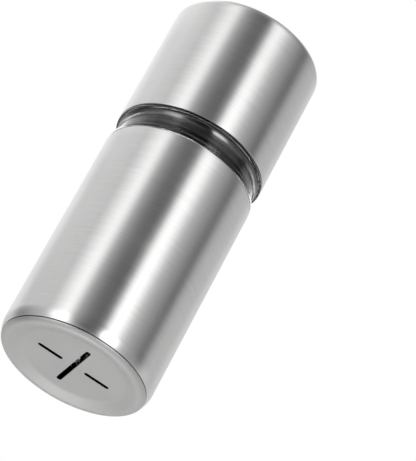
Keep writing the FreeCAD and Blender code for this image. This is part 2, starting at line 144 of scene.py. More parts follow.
world = bpy.data.worlds.new("light_tent")
world.use_nodes = True
bpy.context.scene.world = world
tree = world.node_tree
tree.nodes.clear()
towards = node(tree, "ShaderNodeSeparateXYZ", {0: node(tree, "ShaderNodeTexCoord").outputs["Generated"]})
ahead = maths(tree, "MULTIPLY", towards.outputs["Y"], -1.0)
turn = maths(tree, "ARCTAN2", towards.outputs["X"], ahead)
turn = maths(tree, "FRACT", maths(tree, "SUBTRACT", maths(tree, "DIVIDE", turn, 2 * math.pi),
                                  tent_centre / 360 - 0.5))


def tent_grey(brightness):
    """The colour that shows as that brightness at the tent's strength."""
    return (*[brightness / tent_strength] * 3, 1)


def tent_ramp(stops):
    """The tent's brightness round the mill, by stops from -180 to 180 degrees."""
    ramp = node(tree, "ShaderNodeValToRGB", {0: turn})
    ramp.color_ramp.interpolation = "EASE"
    while len(ramp.color_ramp.elements) < len(stops):
        ramp.color_ramp.elements.new(0.5)
    for element, (degrees, brightness) in zip(ramp.color_ramp.elements, stops):
        element.position = (degrees + 180) / 360
    for element, (degrees, brightness) in zip(ramp.color_ramp.elements, stops):
        element.color = tent_grey(brightness)
    return ramp.outputs[0]


height = towards.outputs["Z"]
side = camera_place.xy.normalized()
nearness = maths(tree, "ADD", maths(tree, "MULTIPLY", towards.outputs["X"], side.x),
                 maths(tree, "MULTIPLY", towards.outputs["Y"], side.y))
roof = blended(tree, soft_share(tree, height, *roof_starts), tent_ramp(wall_panels), tent_grey(roof_tone))
# a ramp gives its stops divided by the strength, so the feet's heights are brought back
raised = maths(tree, "MULTIPLY", tent_ramp(wall_feet), tent_strength)
over_feet = maths(tree, "SUBTRACT", height, raised)
walls = blended(tree, soft_share(tree, over_feet, *feet_end), roof, tent_ramp(low_strips))
pool = maths(tree, "ADD", maths(tree, "MULTIPLY", nearness, pool_away),
             maths(tree, "MULTIPLY", height, pool_down))
ground = blended(tree, soft_share(tree, pool, *pool_starts), tent_grey(ground_tone), tent_grey(pool_tone))
near = blended(tree, soft_share(tree, height, *ground_starts), walls, ground)
far = blended(tree, soft_share(tree, over_feet, *far_feet_end), roof, ground)
panels = blended(tree, soft_share(tree, nearness, *far_starts), near, far)
over_sill = soft_share(tree, height, *window_sill)
pane = maths(tree, "MULTIPLY", over_sill, soft_share(tree, height, *window_head))
panels = blended(tree, pane, panels, tent_ramp(windows), "ADD")
seen = node(tree, "ShaderNodeLightPath")
through = maths(tree, "MULTIPLY", seen.outputs["Is Transmission Ray"],
                soft_share(tree, nearness, *backdrop_starts))
plain = maths(tree, "MAXIMUM", seen.outputs["Is Camera Ray"], through)
lit = node(tree, "ShaderNodeBackground", {0: panels, 1: tent_strength})
white = node(tree, "ShaderNodeBackground", {0: (1, 1, 1, 1), 1: 1.0})
backdrop = node(tree, "ShaderNodeMixShader", {0: plain, 1: lit.outputs[0], 2: white.outputs[0]})
node(tree, "ShaderNodeOutputWorld", {0: backdrop.outputs[0]})

# ---- The overhead lamp --------------------------------------------------------------------------
# One wide soft box above and behind the camera's left, which gives the floor its soft shadow.
# It isn't mirrored in the steel, where the tent's panels are.
soft_box = placed("soft_box", bpy.data.lights.new("soft_box", "AREA"))
soft_box.data.shape = "DISK"
soft_box.data.size = 0.7
soft_box.data.energy = 6.0
soft_box.location = (-0.35, -0.25, 0.95)
soft_box.rotation_mode = "QUATERNION"
soft_box.rotation_quaternion = (-soft_box.location).to_track_quat("-Z", "Y")
soft_box.visible_glossy = False


# ---- The floor ----------------------------------------------------------------------------------
# A pale sheet under the stand ring. It is clear from below, where the camera looks up through it,
# and to all light but the view from above, so that it only shows the mill's shadow.
def object_place(tree):
    """Where the shaded point lies on its object."""
    return node(tree, "ShaderNodeTexCoord").outputs["Object"]


floor_reach = 2.5
fade_start = 0.16
fade_end = 0.55
paper_tone = (0.93, 0.93, 0.93, 1)
corners = [(x * floor_reach, y * floor_reach, 0) for x, y in ((-1, -1), (1, -1), (1, 1), (-1, 1))]
floor_mesh = bpy.data.meshes.new("floor")
floor_mesh.from_pydata(corners, [], [(0, 1, 2, 3)])
floor = placed("floor", floor_mesh)
sheet = bpy.data.materials.new("pale_floor")
sheet.use_nodes = True
tree = sheet.node_tree
tree.nodes.clear()
away = node(tree, "ShaderNodeVectorMath", {0: object_place(tree)}, operation="LENGTH").outputs["Value"]
fade = soft_share(tree, away, fade_start, fade_end)
matt = node(tree, "ShaderNodeBsdfDiffuse", {0: paper_tone})
glow = node(tree, "ShaderNodeEmission", {0: (1, 1, 1, 1), 1: 1.0})
paper = node(tree, "ShaderNodeMixShader", {0: fade, 1: matt.outputs[0], 2: glow.outputs[0]})
seen = node(tree, "ShaderNodeLightPath").outputs["Is Camera Ray"]
above = maths(tree, "SUBTRACT", 1.0, node(tree, "ShaderNodeNewGeometry").outputs["Backfacing"])
clear = node(tree, "ShaderNodeBsdfTransparent")
shown = node(tree, "ShaderNodeMixShader", {0: maths(tree, "MULTIPLY", seen, above), 1: clear.outputs[0],
                                           2: paper.outputs[0]})
node(tree, "ShaderNodeOutputMaterial", {0: shown.outputs[0]})
floor_mesh.materials.append(sheet)


# ---- The bottom cap -----------------------------------------------------------------------------
# A cast disc with a satin plated face, which carries the mill on a narrow stand ring.
# Three slots let the ground nutmeg out, and its rim carries on the sleeve's rounded corner.
def eased(corners, step=9):
    """The outline's (r, z) points, with each (r, z, radius) corner rounded in steps of degrees."""
    points = []
    for index, (r, z, radius) in enumerate(corners):
        if radius == 0:
            points.append((r, z))
            continue
        corner = Vector((r, z))
        before = Vector(corners[index - 1][:2]) - corner
        after = Vector(corners[(index + 1) % len(corners)][:2]) - corner
        opening = before.angle(after)
        halfway = (before.normalized() + after.normalized()).normalized()
        centre = corner + halfway * radius / math.sin(opening / 2)
        reach = radius / math.tan(opening / 2)
        first = corner + before.normalized() * reach - centre
        last = corner + after.normalized() * reach - centre
        swing = first.angle_signed(last)
        count = max(2, math.ceil((math.pi - opening) / math.radians(step)))
        for part in range(count + 1):
            angle = -swing * part / count
            points.append((centre.x + first.x * math.cos(angle) - first.y * math.sin(angle),
                           centre.y + first.x * math.sin(angle) + first.y * math.cos(angle)))
    return points


def bow(centre, radius, start, end, step=4):
    """(r, z) points along an arc from one angle to another, all in degrees."""
    count = max(2, round(abs(end - start) / step))
    angles = [math.radians(start + (end - start) * part / count) for part in range(count + 1)]
    return [(centre[0] + radius * math.cos(a), centre[1] + radius * math.sin(a)) for a in angles]


# lengths under this count as none
tolerance = 1e-7


def mesh_of(name, made):
    """The bmesh as a mesh of that name."""
    mesh = bpy.data.meshes.new(name)
    made.to_mesh(mesh)
    made.free()
    return mesh


def turned(name, outline, segments=192):
    """A mesh turned about the Z axis from a closed outline of (r, z) points in millimetres."""
    made = bmesh.new()
    angles = [2 * math.pi * part / segments for part in range(segments)]
    turns = [(math.cos(a), math.sin(a)) for a in angles]
    rings = []
    for r, z in outline:
        places = turns if r > tolerance else [(1, 0)]
        rings.append([made.verts.new((r * mm * x, r * mm * y, z * mm)) for x, y in places])
    for index, ring in enumerate(rings):
        other = rings[(index + 1) % len(rings)]
        if len(ring) == 1 and len(other) == 1:
            continue
        for a in range(segments):
            b = (a + 1) % segments
            corners = [ring[a % len(ring)], ring[b % len(ring)],
                       other[b % len(other)], other[a % len(other)]]
            made.faces.new(list(dict.fromkeys(corners)))
    bmesh.ops.recalc_face_normals(made, faces=made.faces)
    return mesh_of(name, made)


def fitted(name, mesh, finish, body, slot, *nodes, crease=32):
    """The finished piece: its mesh in that material, riding on the body, for those CAD nodes."""
    mesh.materials.clear()
    mesh.materials.append(finish)
    mesh.shade_smooth()
    mesh.set_sharp_from_angle(angle=math.radians(crease))
    piece = placed(name, mesh)
    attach(piece, body)
    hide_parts(*nodes)
    return piece


def surface(name, metallic=0.0, roughness=0.5, colour=(0.8, 0.8, 0.8), **sockets):
    """A material with its Principled BSDF, ready for its nodes."""
    made = bpy.data.materials.new(name)
    made.use_nodes = True
    skin = made.node_tree.nodes["Principled BSDF"]
    skin.inputs["Metallic"].default_value = metallic
    skin.inputs["Roughness"].default_value = roughness
    skin.inputs["Base Color"].default_value = (*colour, 1)
    for socket, value in sockets.items():
        skin.inputs[socket.replace("_", " ")].default_value = value
    return made, made.node_tree, skin


def socket_group(name, inputs, outputs):
    """An empty shader group with those float inputs and outputs, and its two end nodes."""
    group = bpy.data.node_groups.new(name, "ShaderNodeTree")
    for socket, value in inputs.items():
        made = group.interface.new_socket(socket, in_out="INPUT", socket_type="NodeSocketFloat")
        made.default_value = value
    for socket in outputs:
        group.interface.new_socket(socket, in_out="OUTPUT", socket_type="NodeSocketFloat")
    return group, group.nodes.new("NodeGroupInput"), group.nodes.new("NodeGroupOutput")


def noise(tree, vector, scale, detail, roughness=0.5):
    """Smooth noise over the vector."""
    return node(tree, "ShaderNodeTexNoise", {"Vector": vector, "Scale": scale, "Detail": detail,
                                             "Roughness": roughness}).outputs[0]


# most values of a noise lie in this part of its range
noise_core = (0.35, 0.65)
# fine blasted tooth and slow patches, for satin plate and moulded plastic
tooth, tooth_in, tooth_out = socket_group(
    "satin_tooth", {"Tooth per metre": 2600.0, "Patches per metre": 60.0}, ["Tooth", "Patches"])
spot = object_place(tooth)
tooth.links.new(noise(tooth, spot, tooth_in.outputs[0], 3.0, 0.6), tooth_out.inputs[0])
tooth.links.new(noise(tooth, spot, tooth_in.outputs[1], 2.0), tooth_out.inputs[1])


def ranged(tree, value, low, high, start=0.25, end=0.75):
    """The value brought from start..end to low..high."""
    return node(tree, "ShaderNodeMapRange", {0: value, 1: start, 2: end, 3: low, 4: high}).outputs[0]


def weighed(tree, first, second, share):
    """The share of the first value and the rest of the second."""
    rest = maths(tree, "MULTIPLY", second, 1 - share)
    return maths(tree, "ADD", maths(tree, "MULTIPLY", first, share), rest)


def shaded(tree, value, dark, pale):
    """A colour between dark and pale, by the value."""
    return blended(tree, value, (*dark, 1), (*pale, 1))


def bumped(tree, skin, height, depth, strength=1.0):
    """The height as a bump of that depth in metres on the skin."""
    bump = node(tree, "ShaderNodeBump", {"Height": height, "Distance": depth, "Strength": strength})
    tree.links.new(bump.outputs[0], skin.inputs["Normal"])


def toothed(name, dark, pale, rough, depth, fineness=2600.0, **sockets):
    """A satin material whose colour, roughness and bump follow the tooth."""
    made, tree, skin = surface(name, **sockets)
    grain = node(tree, "ShaderNodeGroup", {0: fineness}, node_tree=tooth)
    tone = ranged(tree, weighed(tree, grain.outputs[0], grain.outputs[1], 0.35), 0, 1, *noise_core)
    tree.links.new(shaded(tree, tone, dark, pale), skin.inputs["Base Color"])
    tree.links.new(ranged(tree, grain.outputs[1], *rough), skin.inputs["Roughness"])
    bumped(tree, skin, grain.outputs[0], depth)
    return made


def from_axis(tree):
    """How far the shaded point is from the Z axis, and its height."""
    spot = node(tree, "ShaderNodeSeparateXYZ", {0: object_place(tree)})
    flat = node(tree, "ShaderNodeCombineXYZ", {0: spot.outputs["X"], 1: spot.outputs["Y"]})
    reach = node(tree, "ShaderNodeVectorMath", {0: flat.outputs[0]}, operation="LENGTH")
    return reach.outputs["Value"], spot.outputs["Z"]


sleeve_low, sleeve_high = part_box("body_sleeve")
mill_radius = sleeve_high.x / mm
sleeve_top = sleeve_high.z / mm
seam_height = sleeve_low.z / mm
cap_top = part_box("bottom_cap")[1].z / mm
curl_radius = 7.0
curl_height = 5.1
curl_centre = (mill_radius - curl_radius, curl_height)
ledge_height = seam_height - 0.25
rim_round = 2.1
ring_width = 0.9
ring_bend = 2.0
slope_width = 3.9
slope_bend = 5.0
recess = 1.5
panel_top = 2.4
spigot_outer = 21.9
spigot_inner = 20.7
spigot_edge = 0.2
slot_half = 0.8
slot_ease = 0.14
# where each slot starts and ends along its own direction, and that direction's angle
slots = [(-12.95, 12.95, 90), (4.0, 12.6, 0), (4.0, 12.6, 180)]

rim_radius = curl_centre[0] + math.sqrt(curl_radius ** 2 - (curl_height - seam_height) ** 2)
rim_angle = math.degrees(math.acos(1 - ledge_height / rim_round))
ring_outer = rim_radius - rim_round * math.sin(math.radians(rim_angle))
ring_inner = ring_outer - ring_width
bottom_outline = eased([(0, recess, 0), (ring_inner - slope_width, recess, slope_bend),
                        (ring_inner, 0, ring_bend), (ring_outer - 0.3, 0, 0)])
bottom_outline += bow((ring_outer, rim_round), rim_round, -90, rim_angle - 90, 6)
bottom_outline += eased([(rim_radius - 0.1, ledge_height, 0), (spigot_outer, ledge_height, 0),
                         (spigot_outer, cap_top, spigot_edge), (spigot_inner, cap_top, spigot_edge),
                         (spigot_inner, panel_top, 0.3), (0, panel_top, 0)])
bottom_mesh = turned("bottom_cap", bottom_outline)
# the flat fans inside the ring and above the panel become one face each, so that the slots cut clean
shaping = bmesh.new()
shaping.from_mesh(bottom_mesh)
for height in (recess * mm, panel_top * mm):
    fan = [face for face in shaping.faces
           if all(abs(vertex.co.z - height) < tolerance for vertex in face.verts)
           and any(vertex.co.xy.length < tolerance for vertex in face.verts)]
    bmesh.ops.dissolve_faces(shaping, faces=fan, use_verts=True)
shaping.to_mesh(bottom_mesh)
shaping.free()


def slot_cutter(start, end, degrees):
    """A prism through the panel, with round ends, from start to end along the turned X axis."""
    made = bmesh.new()
    bottom = -1.0
    height = Vector((0, 0, 4.0))
    rim = []
    for centre, first in ((end - slot_half, -90), (start + slot_half, 90)):
        for angle in [math.radians(first + swing) for swing in range(0, 181, 15)]:
            rim.append(Vector((centre + slot_half * math.cos(angle), slot_half * math.sin(angle), bottom)))
    turn = Quaternion((0, 0, 1), math.radians(degrees))
    low = [made.verts.new(turn @ point * mm) for point in rim]
    high = [made.verts.new(turn @ (point + height) * mm) for point in rim]
    made.faces.new(list(reversed(low)))
    made.faces.new(high)
    for a in range(len(rim)):
        b = (a + 1) % len(rim)
        made.faces.new([low[a], low[b], high[b], high[a]])
    return placed("slot_cutter", mesh_of("slot_cutter", made))


def cut_by(blank, cutters):
    """Modifiers on the blank that cut each cutter's shape out of it."""
    for cutter in cutters:
        cut = blank.modifiers.new("cut", "BOOLEAN")
        cut.operation = "DIFFERENCE"
        cut.solver = "EXACT"
        cut.object = cutter


def baked(blank, *tools):
    """The evaluated mesh of an object with modifiers. The object and the tools that it used go."""
    shown = blank.evaluated_get(bpy.context.evaluated_depsgraph_get())
    mesh = bpy.data.meshes.new_from_object(shown)
    for used in (blank, *tools):
        bpy.data.objects.remove(used)
    return mesh


blank = placed("bottom_blank", bottom_mesh)
cutters = [slot_cutter(*slot) for slot in slots]
cut_by(blank, cutters)
ease = blank.modifiers.new("ease", "BEVEL")
ease.width = slot_ease * mm
ease.segments = 3
ease.limit_method = "ANGLE"
ease.angle_limit = math.radians(60)
bottom_mesh = baked(blank, *cutters)
satin_plate = toothed("satin_plate", dark=(0.53, 0.53, 0.525), pale=(0.58, 0.58, 0.575),
                      rough=(0.42, 0.50), depth=0.006 * mm, metallic=1.0)
# painted shade: the walls of the slots and the ledge out to the seam under the sleeve are painted
# black where shade falls in them, and the seam's painted shade fades out on one side, where light reaches
# in
painted_shade_black = (0.012, 0.012, 0.012, 1)
shade_fade_side = (0.87, -0.50, 0.0)
shade_fade_start = 16.0
shade_fade_end = 20.5
tree = satin_plate.node_tree
skin = tree.nodes["Principled BSDF"]
bare = skin.inputs["Base Color"].links[0].from_socket
reach, up = from_axis(tree)
# painted shade down the walls of the slots
walls = ranged(tree, up, 0, 1, (recess + 0.01) * mm, (recess + 0.03) * mm)
# painted shade in the seam's gap under the sleeve
seam_shade_mask = ranged(tree, up, 0, 1, (ledge_height - 0.14) * mm, (ledge_height - 0.06) * mm)
seam_shade_mask = maths(tree, "MULTIPLY", seam_shade_mask, maths(tree, "GREATER_THAN", reach, (spigot_outer - 0.2) * mm))
sideways = node(tree, "ShaderNodeVectorMath", {0: object_place(tree), 1: shade_fade_side},
                operation="DOT_PRODUCT").outputs["Value"]
# the seam's painted shade fades out towards the lit side
seam_shade_left = ranged(tree, sideways, 0, 1, shade_fade_end * mm, shade_fade_start * mm)
painted_shade_mask = maths(tree, "MAXIMUM", walls, maths(tree, "MULTIPLY", seam_shade_mask, seam_shade_left))
tree.links.new(blended(tree, painted_shade_mask, bare, painted_shade_black), skin.inputs["Base Color"])
fitted("bottom_cap_disc", bottom_mesh, satin_plate, "base", "satin_steel", "bottom_cap", crease=12)

# ---- The outlet funnel --------------------------------------------------------------------------
# A moulded black cone that lies on the panel inside the bottom cap's spigot.
# It leads the powder from the whole cutter down to the slots.
funnel_low, funnel_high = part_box("outlet_funnel")
funnel_outer = funnel_high.x / mm
funnel_bottom = funnel_low.z / mm
funnel_top = funnel_high.z / mm
funnel_mouth = 13.2
funnel_wall = 1.2
funnel_edge = 0.2
funnel_outline = eased([(funnel_mouth, funnel_bottom, funnel_edge),
                        (funnel_mouth + funnel_wall, funnel_bottom, funnel_edge),
                        (funnel_outer, funnel_top - funnel_wall, funnel_edge),
                        (funnel_outer, funnel_top, funnel_edge),
                        (funnel_outer - funnel_wall, funnel_top, funnel_edge)])
black_plastic = toothed("black_plastic", dark=(0.012, 0.012, 0.012), pale=(0.022, 0.022, 0.023),
                        rough=(0.38, 0.5), depth=0.01 * mm)
fitted("funnel_cone", turned("outlet_funnel", funnel_outline, 128), black_plastic, "base",
       "black_plastic", "outlet_funnel")

# ---- The jar ------------------------------------------------------------------------------------
# One clear moulding, polished in the mould. The sleeve hides its wall, and only the waist shows:
# a lip on the sleeve's edge, a hollow waist and the thin flange that the cap turns on.
jar_low, jar_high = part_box("jar")
steel_wall = 0.6
glue_gap = 0.1
jar_outer = mill_radius - steel_wall - glue_gap
jar_bore = jar_outer - 2.3
skirt_bottom = jar_low.z / mm
neck_rim = jar_high.z / mm
neck_radius = jar_bore + 1.6
neck_edge = 0.7
waist_radius = mill_radius - 1.6
flange_radius = mill_radius - 0.1
flange_top = sleeve_top + 8.9
flange_bottom = flange_top - 0.5
lip_bottom = sleeve_top + 0.1
lip_top = sleeve_top + 1.4
waist_bottom = sleeve_top + 3.0
waist_top = sleeve_top + 6.1
floor_underside = 8.0
floor_top = 10.2
floor_opening = jar_bore - 4.2
jar_edge = 0.2
skirt_curl = curl_radius - steel_wall - glue_gap
skirt_angle = -math.degrees(math.asin((curl_height - skirt_bottom) / skirt_curl))
hollow = flange_radius - waist_radius
bends = [(math.sin(a), math.cos(a)) for a in [math.radians(90 * part / 14) for part in range(15)]]
lower_cove = [(flange_radius - hollow * sine, waist_bottom - (waist_bottom - lip_top) * cosine)
              for sine, cosine in bends]
upper_cove = [(flange_radius - hollow * cosine, waist_top + (flange_bottom - waist_top) * sine)
              for sine, cosine in bends]
jar_outline = [(jar_bore, skirt_bottom)]
jar_outline += bow(curl_centre, skirt_curl, skirt_angle, 0, 5)
jar_outline += eased([(jar_outer, sleeve_top - 2.0, 0), (jar_outer, lip_bottom, 0.1),
                      (flange_radius, lip_bottom, 0.25), (flange_radius, lip_top, 0.3),
                      (lower_cove[3][0], lip_top + 0.04, 0)])
jar_outline += lower_cove[4:] + upper_cove[:-3]
jar_outline += eased([(upper_cove[-3][0] + 0.1, flange_bottom - 0.01, 0),
                      (flange_radius, flange_bottom, jar_edge), (flange_radius, flange_top, jar_edge),
                      (neck_radius, flange_top, jar_edge), (neck_radius, neck_rim, neck_edge),
                      (jar_bore, neck_rim, neck_edge), (jar_bore, floor_top, 0.3),
                      (floor_opening, floor_top, jar_edge), (floor_opening, floor_underside, jar_edge),
                      (jar_bore, floor_underside, jar_edge)])
clear_tint = (0.985, 0.99, 0.99)
# painted shade for the flange's edge
painted_shade_tint = (0.2, 0.2, 0.2)
clear_plastic, tree, skin = surface("clear_plastic", roughness=0.02, colour=clear_tint, IOR=1.49,
                                    Transmission_Weight=1.0, Coat_Roughness=0.02, Coat_IOR=2.0,
                                    Specular_Tint=(0.5, 0.5, 0.5, 1))
flow = noise(tree, object_place(tree), 90.0, 2.0)
handling = noise(tree, object_place(tree), 420.0, 4.0)
tree.links.new(ranged(tree, handling, 0.0, 0.025), skin.inputs["Roughness"])
bumped(tree, skin, flow, 0.03 * mm, 0.3)
# the flange's edge is darkened with painted shade, and the upper cove is flame polished and glossier than
# the rest
reach, up = from_axis(tree)
rim = maths(tree, "MULTIPLY", maths(tree, "GREATER_THAN", up, (flange_bottom - 0.05) * mm),
            maths(tree, "GREATER_THAN", reach, (flange_radius - 0.5) * mm))
# painted shade on the flange's edge
tree.links.new(shaded(tree, rim, clear_tint, painted_shade_tint), skin.inputs["Base Color"])
polish_starts = ranged(tree, up, 0, 1, (waist_top - 0.1) * mm, (waist_top + 0.5) * mm)
polish_ends = ranged(tree, up, 0, 1, (waist_top + 2.05) * mm, (waist_top + 1.75) * mm)
tree.links.new(maths(tree, "MULTIPLY", polish_starts, polish_ends), skin.inputs["Coat Weight"])
fitted("clear_jar", turned("jar", jar_outline, 256), clear_plastic, "base", "clear_plastic", "jar")

# ---- The cutter plate and its blades ------------------------------------------------------------
# A steel disc on the jar's floor, ground flat, with a window in front of each blade.
# The blades are bent from strip and ground to an edge that stands up through the window.
grind, grind_in, grind_out = socket_group(
    "turned_grain", {"Streaks per metre": 3200.0, "Length per metre": 40.0},
    ["Streaks", "Bands", "Patches"])
spot = object_place(grind)
axes = node(grind, "ShaderNodeSeparateXYZ", {0: spot})
reach, up = from_axis(grind)
across = maths(grind, "SUBTRACT", up, reach)
along_x = maths(grind, "MULTIPLY", axes.outputs[0], grind_in.outputs[1])
along_y = maths(grind, "MULTIPLY", axes.outputs[1], grind_in.outputs[1])


def streaks(share, detail):
    """Noise drawn out round the axis, at a share of the streaks' fineness."""
    fineness = maths(grind, "MULTIPLY", maths(grind, "MULTIPLY", across, grind_in.outputs[0]), share)
    drawn = node(grind, "ShaderNodeCombineXYZ", {0: along_x, 1: along_y, 2: fineness})
    return noise(grind, drawn.outputs[0], 1.0, detail)


grind.links.new(streaks(1.0, 3.0), grind_out.inputs[0])
grind.links.new(streaks(0.22, 2.0), grind_out.inputs[1])
grind.links.new(noise(grind, spot, 55.0, 3.0), grind_out.inputs[2])


def brushed(name, dark, pale, rough, depth, lengthwise, fineness, anisotropy):
    """Steel brushed round the axis: streaks in its colour, roughness and bump."""
    made, tree, skin = surface(name, metallic=1.0, Anisotropic=anisotropy, Anisotropic_Rotation=0.25)
    grain = node(tree, "ShaderNodeGroup", {0: fineness, 1: lengthwise}, node_tree=grind)
    mixed = weighed(tree, grain.outputs[0], grain.outputs[1], 0.55)
    tone = ranged(tree, mixed, 0, 1, *noise_core)
    tree.links.new(shaded(tree, tone, dark, pale), skin.inputs["Base Color"])
    worn = maths(tree, "ADD", ranged(tree, mixed, *rough, *noise_core),
                 ranged(tree, grain.outputs[2], -0.02, 0.03))
    tree.links.new(worn, skin.inputs["Roughness"])
    bumped(tree, skin, mixed, depth)
    tangent = node(tree, "ShaderNodeTangent", direction_type="RADIAL", axis="Z")
    tree.links.new(tangent.outputs[0], skin.inputs["Tangent"])
    return made


def coated(name, finish):
    """That material on the CAD node, which keeps its shape."""
    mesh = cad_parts[name].data
    mesh.materials.clear()
    mesh.materials.append(finish)


ground_steel = brushed("ground_steel", dark=(0.50, 0.50, 0.495), pale=(0.62, 0.62, 0.61),
                       rough=(0.30, 0.40), depth=0.006 * mm, lengthwise=300.0, fineness=5000.0,
                       anisotropy=0.5)
blade_count = 4
coated("cutter_plate", ground_steel)
for number in range(1, blade_count + 1):
    coated(f"cutter_blade_{number}", ground_steel)


# ---- The rivets and the cutter screws -----------------------------------------------------------
# Two domed rivets hold each blade's tail under the plate, and three countersunk screws hold the
# plate to the jar's floor. Each kind is one shape, repeated round the axis.
def ring_tree():
    """A node tree that repeats a part round the Z axis and joins the copies."""
    made = bpy.data.node_groups.new("repeat_round_axis", "GeometryNodeTree")
    for socket, kind in (("Part", "NodeSocketObject"), ("Count", "NodeSocketInt"),
                         ("First Angle", "NodeSocketFloat"), ("Finish", "NodeSocketMaterial")):
        made.interface.new_socket(socket, in_out="INPUT", socket_type=kind)
    made.interface.new_socket("Geometry", in_out="OUTPUT", socket_type="NodeSocketGeometry")
    given = made.nodes.new("NodeGroupInput")
    part = node(made, "GeometryNodeObjectInfo", {"Object": given.outputs["Part"]})
    places = node(made, "GeometryNodePoints", {"Count": given.outputs["Count"]})
    index = node(made, "GeometryNodeInputIndex").outputs[0]
    share = maths(made, "DIVIDE", index, given.outputs["Count"])
    angle = maths(made, "ADD", maths(made, "MULTIPLY", share, 2 * math.pi), given.outputs["First Angle"])
    facing = node(made, "ShaderNodeCombineXYZ", {2: angle})
    copies = node(made, "GeometryNodeInstanceOnPoints", {"Points": places.outputs[0],
                                                         "Instance": part.outputs["Geometry"],
                                                         "Rotation": facing.outputs[0]})
    real = node(made, "GeometryNodeRealizeInstances", {0: copies.outputs[0]})
    dressed = node(made, "GeometryNodeSetMaterial", {"Geometry": real.outputs[0],
                                                     "Material": given.outputs["Finish"]})
    node(made, "NodeGroupOutput", {0: dressed.outputs[0]})
    return made


round_axis_tree = ring_tree()


def ringed(mesh, count, first, finish):
    """The mesh repeated at equal angles about the axis, as one mesh."""
    part = placed("part", mesh)
    holder = placed("holder", bpy.data.meshes.new("holder"))
    modifier = holder.modifiers.new("round_axis", "NODES")
    modifier.node_group = round_axis_tree
    values = {"Part": part, "Count": count, "First Angle": math.radians(first), "Finish": finish}
    for socket in round_axis_tree.interface.items_tree:
        if socket.in_out == "INPUT":
            modifier[socket.identifier] = values[socket.name]
    return baked(holder, part)


def moved(mesh, x, y):
    """The mesh shifted by millimetres."""
    for vertex in mesh.vertices:
        vertex.co += Vector((x, y, 0)) * mm
    return mesh


def together(name, *meshes):
    """Several meshes as one."""
    made = bmesh.new()
    for mesh in meshes:
        made.from_mesh(mesh)
    return mesh_of(name, made)


def cross_slotted(mesh, radius, face, depth, downward=False):
    """The screw's mesh with a driver cross cut in the head's face at that height, in millimetres."""
    long_side = 1.3 * radius
    short_side = 0.32 * radius
    draft = 0.72
    inwards = 1 if downward else -1
    blank = placed("screw_blank", mesh)
    cutters = []
    for width, breadth in ((long_side, short_side), (short_side, long_side)):
        made = bmesh.new()
        bmesh.ops.create_cube(made, size=1.0)
        for vertex in made.verts:
            reach = 1.0 if vertex.co.z * inwards < 0 else draft
            vertex.co = Vector((vertex.co.x * width * reach, vertex.co.y * breadth * reach,
                                face + vertex.co.z * 2 * depth)) * mm
        cutters.append(placed("cross", mesh_of("cross", made)))
    cut_by(blank, cutters)
    return baked(blank, *cutters)


plate_top = floor_top + 1.0
blade_underside = floor_top - 0.6
rivet_radius = 0.6
rivet_head = 1.1
rivet_rise = 0.35
rivet_y = -3.4
rivet_places = [9.0, 15.0]
dome = [math.radians(angle) for angle in range(15, 91, 15)]
rivet_outline = [(0, plate_top + rivet_rise)]
rivet_outline += [(rivet_head * math.sin(a), plate_top + rivet_rise * math.cos(a)) for a in dome]
rivet_outline += [(rivet_radius, plate_top), (rivet_radius, blade_underside)]
rivet_outline += [(rivet_head * math.sin(a), blade_underside - rivet_rise * math.cos(a))
                  for a in reversed(dome)]
rivet_outline += [(0, blade_underside - rivet_rise)]
bright_steel = toothed("bright_steel", dark=(0.60, 0.60, 0.59), pale=(0.70, 0.70, 0.69),
                       rough=(0.18, 0.3), depth=0.004 * mm, fineness=4000.0, metallic=1.0)
rivet_pair = [moved(turned("rivet", rivet_outline, 24), x, rivet_y) for x in rivet_places]
rivets = ringed(together("blade_rivets", *rivet_pair), blade_count, 0, bright_steel)
fitted("blade_rivet_set", rivets, bright_steel, "base", "fastener_steel", "blade_rivets")

screw_count = 3
first_screw = 90
screw_circle = jar_bore - 2.2
screw_head = 1.9
screw_shank = 0.9
screw_tip = floor_underside + 0.1
screw_outline = eased([(0, plate_top, 0), (screw_head, plate_top, 0.1), (screw_shank, floor_top, 0.1),
                       (screw_shank, screw_tip, 0.15), (0, screw_tip, 0)])
cutter_screw = cross_slotted(turned("cutter_screw", screw_outline, 48), screw_head, plate_top, depth=0.5)
cutter_screws = ringed(moved(cutter_screw, screw_circle, 0), screw_count, first_screw, bright_steel)
fitted("cutter_screw_set", cutter_screws, bright_steel, "base", "fastener_steel", "cutter_screws")

# ---- The bearing bush ---------------------------------------------------------------------------
# A flanged bush of white acetal, turned from bar, pressed into the middle of the cutter plate.
bush_low, bush_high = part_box("bearing_bush")
bush_bottom = bush_low.z / mm
bush_top = bush_high.z / mm
bush_flange = bush_high.x / mm
bush_bore = 3.65
bush_outer = 4.6
bush_outline = eased([(bush_bore, bush_bottom, 0.15), (bush_outer, bush_bottom, 0.15),
                      (bush_outer, plate_top, 0), (bush_flange, plate_top, 0.15),
                      (bush_flange, bush_top, 0.2), (bush_bore, bush_top, 0.15)])
white_acetal = toothed("white_acetal", dark=(0.72, 0.70, 0.65), pale=(0.80, 0.78, 0.73),
                       rough=(0.34, 0.46), depth=0.01 * mm, Subsurface_Weight=0.08,
                       Subsurface_Radius=(0.002, 0.0018, 0.0015))
fitted("acetal_bush", turned("bearing_bush", bush_outline, 96), white_acetal, "base", "white_acetal",
       "bearing_bush")

# ---- The driver hub, washer and pivot screw -----------------------------------------------------
# The acetal hub sits on the shaft's lower end. Its three vanes push the nuts over the blades.
# A plated washer and one screw from below hold hub and shaft together in the bush.
coated("driver_hub", white_acetal)

washer_low, washer_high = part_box("thrust_washer")
washer_bottom = washer_low.z / mm
washer_top = washer_high.z / mm
washer_outer = washer_high.x / mm
washer_bore = 1.27
washer_outline = eased([(washer_bore, washer_bottom, 0.08), (washer_outer, washer_bottom, 0.12),
                        (washer_outer, washer_top, 0.12), (washer_bore, washer_top, 0.08)])
fitted("plated_washer", turned("thrust_washer", washer_outline, 96), bright_steel, "rotor",
       "fastener_steel", "thrust_washer")

